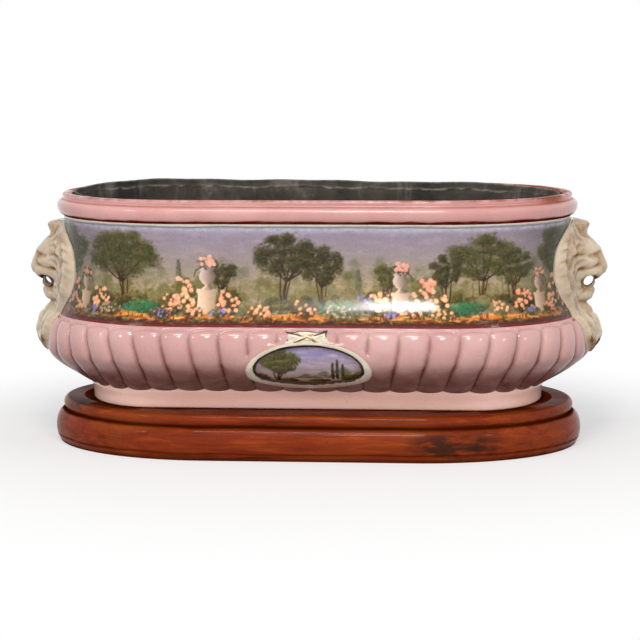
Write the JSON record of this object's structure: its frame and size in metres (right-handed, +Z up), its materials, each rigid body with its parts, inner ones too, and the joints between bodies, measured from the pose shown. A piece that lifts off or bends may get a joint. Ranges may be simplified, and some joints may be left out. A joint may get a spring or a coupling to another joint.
{
  "type": "jardiniere",
  "caption": "Oval glazed ceramic planter with lobed bowl, painted frieze, lion-mask handles and lift-out zinc liner, on a moulded wooden stand.",
  "frame": {"origin": "centre of the stand's underside, on the surface it stands on", "axes": "+X along the length to the right end, +Y to the back, +Z up; the front faces -Y"},
  "size_m": [0.5505, 0.253, 0.2422],
  "materials": {
    "walnut": "dark reddish varnished walnut, satin gloss",
    "screw_steel": "plain steel",
    "pink_glaze": "glossy rose pink glaze",
    "painted_glaze": "hand-painted landscape under clear glossy glaze",
    "cream_glaze": "glossy cream glaze",
    "ivory_glaze": "ivory glaze with dark and gold lines",
    "zinc": "dull weathered zinc sheet with pale oxide"
  },
  "bodies": {
    "stand": {"lower_plinth": "walnut", "upper_plinth": "walnut", "plinth_screw_1": "screw_steel", "plinth_screw_2": "screw_steel", "plinth_screw_3": "screw_steel", "plinth_screw_4": "screw_steel"},
    "planter": {"planter_foot": "pink_glaze", "gadrooned_bowl": "pink_glaze", "frieze_wall": "painted_glaze", "rim_moulding": "pink_glaze", "lion_mask_right": "cream_glaze", "lion_mask_left": "cream_glaze", "medallion_frame_front": "ivory_glaze", "medallion_panel_front": "painted_glaze", "ribbon_crest_front": "ivory_glaze", "medallion_frame_rear": "ivory_glaze", "medallion_panel_rear": "painted_glaze", "ribbon_crest_rear": "ivory_glaze"},
    "liner": {"liner_wall": "zinc", "liner_floor": "zinc", "liner_seam": "zinc"}
  },
  "joints": [
    {"name": "planter_lift", "type": "slide", "parent": "stand", "child": "planter", "axis": [0, 0, 1], "range_m": [0, 0.08]},
    {"name": "liner_lift", "type": "slide", "parent": "planter", "child": "liner", "axis": [0, 0, 1], "range_m": [0, 0.19]}
  ]
}
